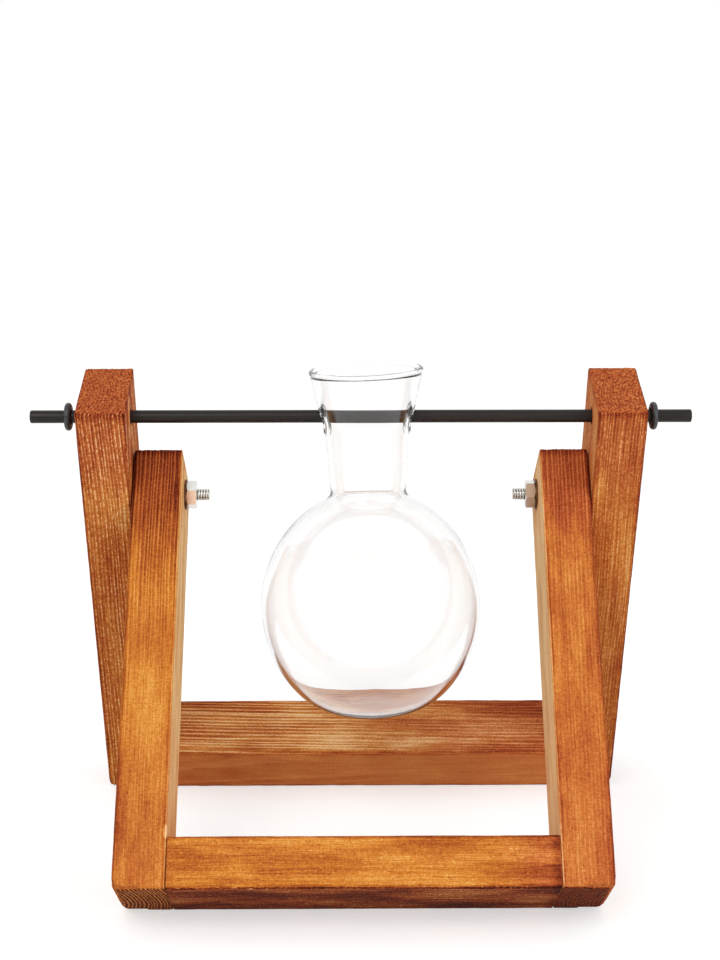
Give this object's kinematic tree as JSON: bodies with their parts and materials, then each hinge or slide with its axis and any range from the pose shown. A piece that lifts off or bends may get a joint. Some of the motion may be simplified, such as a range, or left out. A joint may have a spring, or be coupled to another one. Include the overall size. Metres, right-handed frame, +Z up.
{
  "type": "propagation vase",
  "caption": "Clear glass bulb vase that hangs on a rod through its neck, across the top of a folding wooden X-frame stand.",
  "frame": {"origin": "on the floor, under the middle of the whole part", "axes": "+X along the hanging rod to the right as the front is seen, +Y away from the viewer towards the rear feet, +Z up"},
  "size_m": [0.2434, 0.1668, 0.1811],
  "materials": {
    "stained_wood": "satin",
    "dowel_wood": "matte",
    "zinc_steel": "satin",
    "rod_metal": "satin",
    "ring_rubber": "matte",
    "clear_glass": "clear"
  },
  "bodies": {
    "rear_frame": {"rear_left_leg": "stained_wood", "rear_right_leg": "stained_wood", "rear_rail": "stained_wood", "rear_left_dowels": "dowel_wood", "rear_right_dowels": "dowel_wood", "left_pivot_screw": "zinc_steel", "right_pivot_screw": "zinc_steel", "left_pivot_nut": "zinc_steel", "right_pivot_nut": "zinc_steel", "left_nut_washer": "zinc_steel", "right_nut_washer": "zinc_steel"},
    "front_frame": {"front_left_leg": "stained_wood", "front_right_leg": "stained_wood", "front_rail": "stained_wood", "front_left_dowels": "dowel_wood", "front_right_dowels": "dowel_wood"},
    "rod": {"hanging_rod": "rod_metal"},
    "vase": {"glass_vase": "clear_glass"},
    "left_ring": {"left_stopper_ring": "ring_rubber"},
    "right_ring": {"right_stopper_ring": "ring_rubber"}
  },
  "joints": [
    {"name": "frame_fold", "type": "hinge", "parent": "rear_frame", "child": "front_frame", "pos_m": [0, 0.02405, 0.12981], "axis": [1, 0, 0], "range_deg": [-86, 40]},
    {"name": "rod_turn", "type": "hinge", "parent": "rear_frame", "child": "rod", "pos_m": [0, 0.01274, 0.16209], "axis": [1, 0, 0], "continuous": true},
    {"name": "vase_slide", "type": "slide", "parent": "rod", "child": "vase", "axis": [1, 0, 0], "range_m": [-0.028, 0.021]},
    {"name": "left_ring_pull", "type": "slide", "parent": "rod", "child": "left_ring", "axis": [-1, 0, 0], "range_m": [-0.0034, 0.0151]},
    {"name": "right_ring_pull", "type": "slide", "parent": "rod", "child": "right_ring", "axis": [1, 0, 0], "range_m": [-0.0034, 0.0151]}
  ]
}
